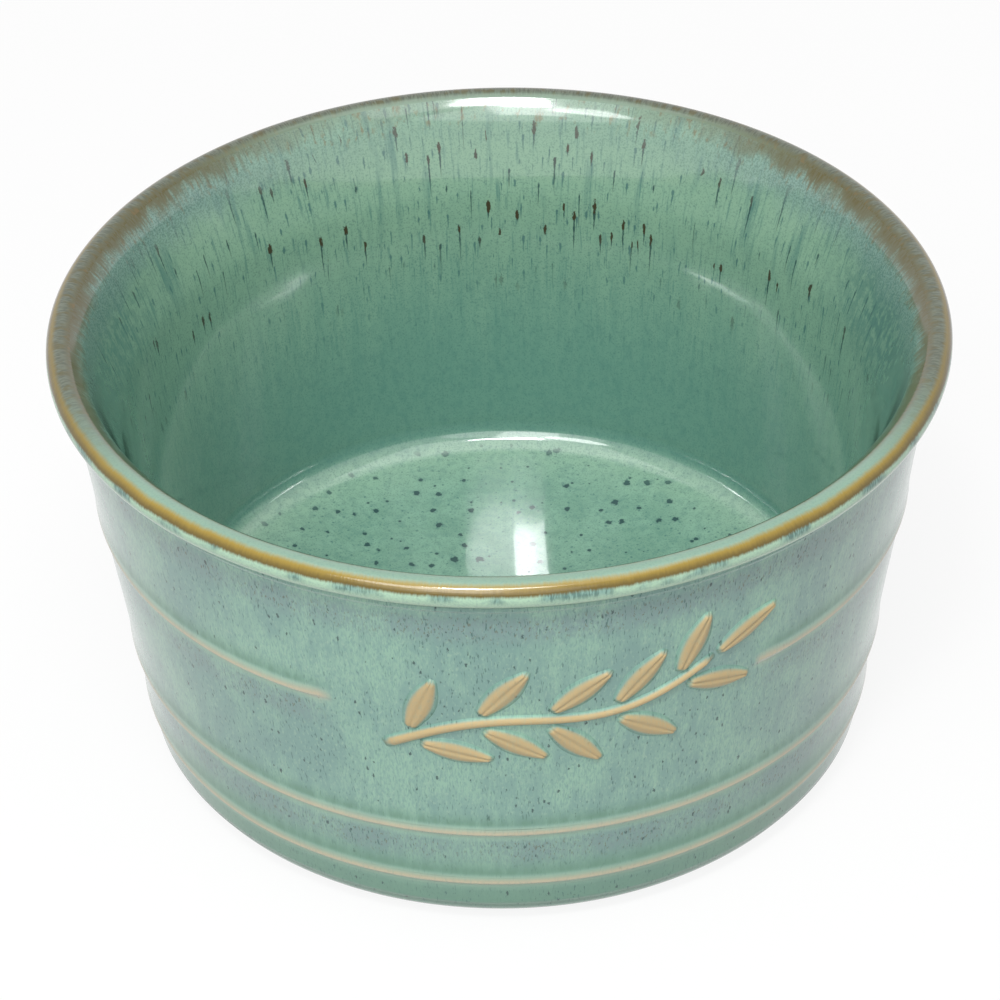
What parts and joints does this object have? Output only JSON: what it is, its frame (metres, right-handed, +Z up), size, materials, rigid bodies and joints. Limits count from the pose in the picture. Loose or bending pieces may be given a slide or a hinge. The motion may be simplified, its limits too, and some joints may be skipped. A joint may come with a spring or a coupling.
{
  "type": "cafe bowl",
  "caption": "Round stoneware bowl with steep tapered wall, rolled rim, stepped rings round the outside, a raised leaf sprig on the front and a low foot ring; holds soup, cereal or a warm drink.",
  "frame": {"origin": "centre of the foot ring, on the table", "axes": "+Z up through the middle of the bowl, -Y towards the plain front panel with the sprig"},
  "size_m": [0.14, 0.14, 0.075],
  "materials": {
    "clay": "bare fired stoneware, satin",
    "inside_glaze": "glossy sea-green glaze with dark specks",
    "outside_glaze": "glossy mottled blue-green glaze",
    "lip_glaze": "glossy streaked grey-green glaze",
    "rim_band": "glossy amber glaze"
  },
  "bodies": {
    "root": {"clay_body": "clay", "inside_glaze": "inside_glaze", "lip_glaze": "lip_glaze", "rim_band": "rim_band", "bead_glaze": "outside_glaze", "wall_glaze": "outside_glaze", "middle_glaze": "outside_glaze", "foot_glaze": "outside_glaze", "underside_glaze": "inside_glaze", "sprig_stem": "clay", "sprig_upper_leaf_1": "clay", "sprig_lower_leaf_1": "clay", "sprig_upper_leaf_2": "clay", "sprig_lower_leaf_2": "clay", "sprig_upper_leaf_3": "clay", "sprig_lower_leaf_3": "clay", "sprig_upper_leaf_4": "clay", "sprig_lower_leaf_4": "clay", "sprig_upper_leaf_5": "clay", "sprig_lower_leaf_5": "clay", "sprig_end_leaf": "clay"}
  },
  "joints": []
}
